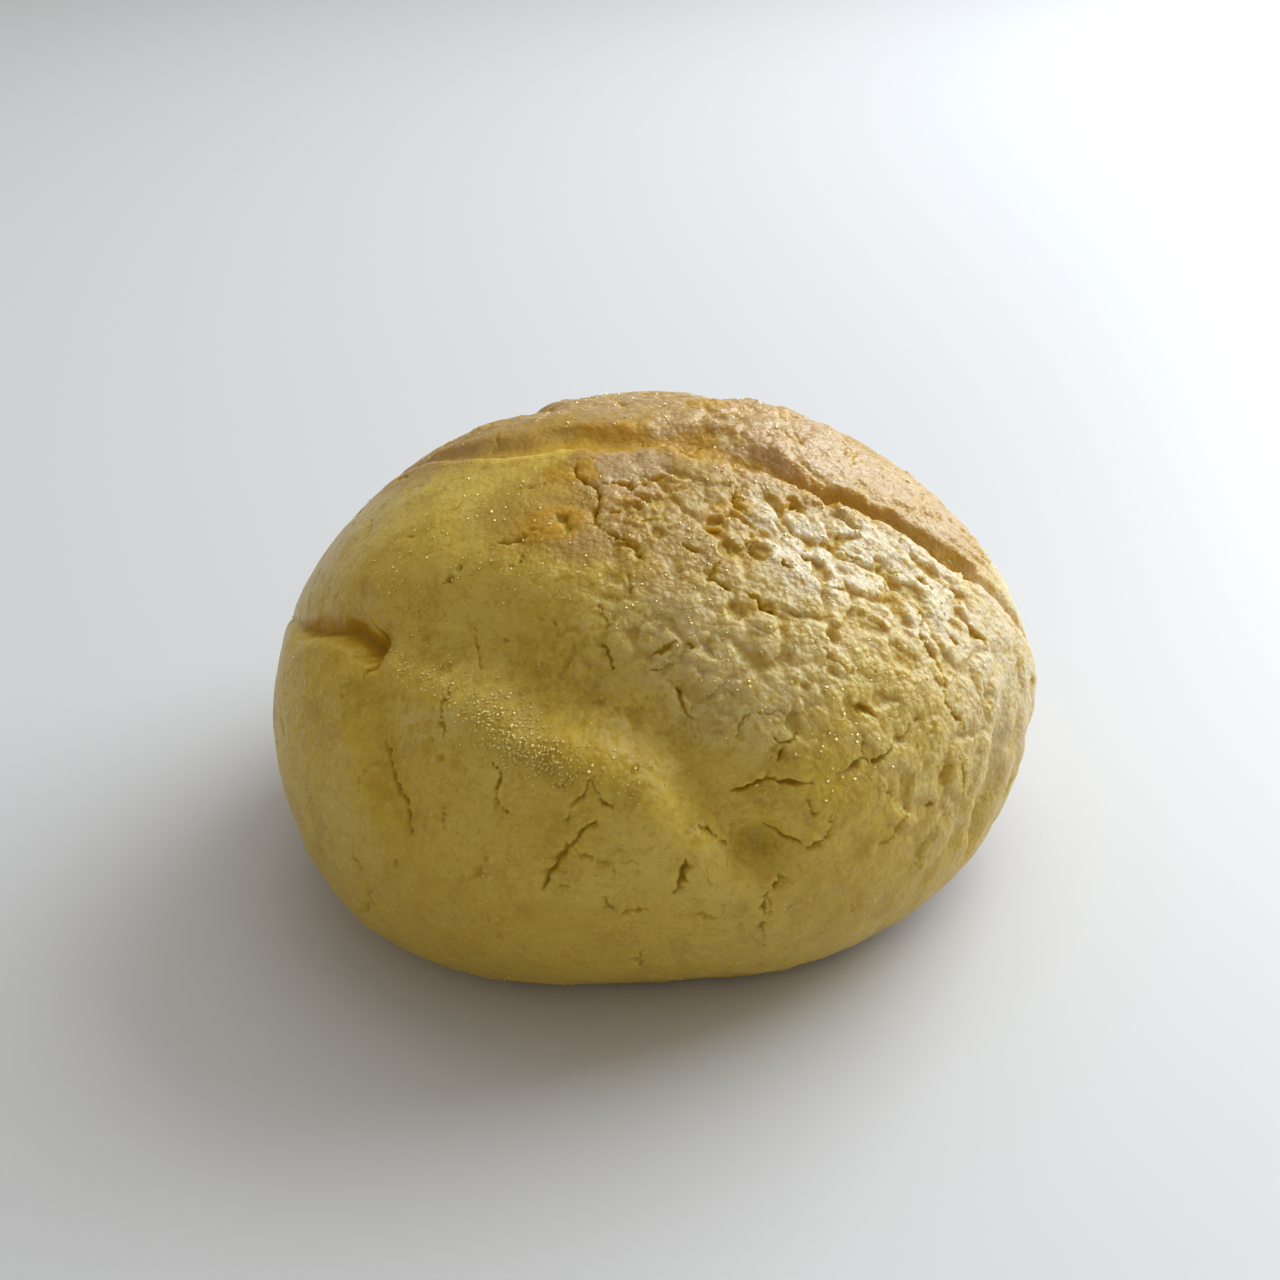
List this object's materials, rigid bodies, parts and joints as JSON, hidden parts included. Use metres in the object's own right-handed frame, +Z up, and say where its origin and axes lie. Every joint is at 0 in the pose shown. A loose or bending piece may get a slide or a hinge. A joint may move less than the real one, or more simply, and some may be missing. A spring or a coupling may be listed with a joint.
{
  "type": "melon bread",
  "caption": "Round sweet bun with a sugared, cracked cookie-dough crust, scored lines that have spread open and a flat underside.",
  "frame": {"origin": "middle of the flat underside, on the surface that the bun rests on", "axes": "+Z up through the crown, -Y towards the front of the bun, +X to its right as seen from the front"},
  "size_m": [0.1072, 0.1044, 0.0622],
  "materials": {
    "crust": "matte"
  },
  "bodies": {
    "root": {"melon_bread": "crust"}
  },
  "joints": []
}
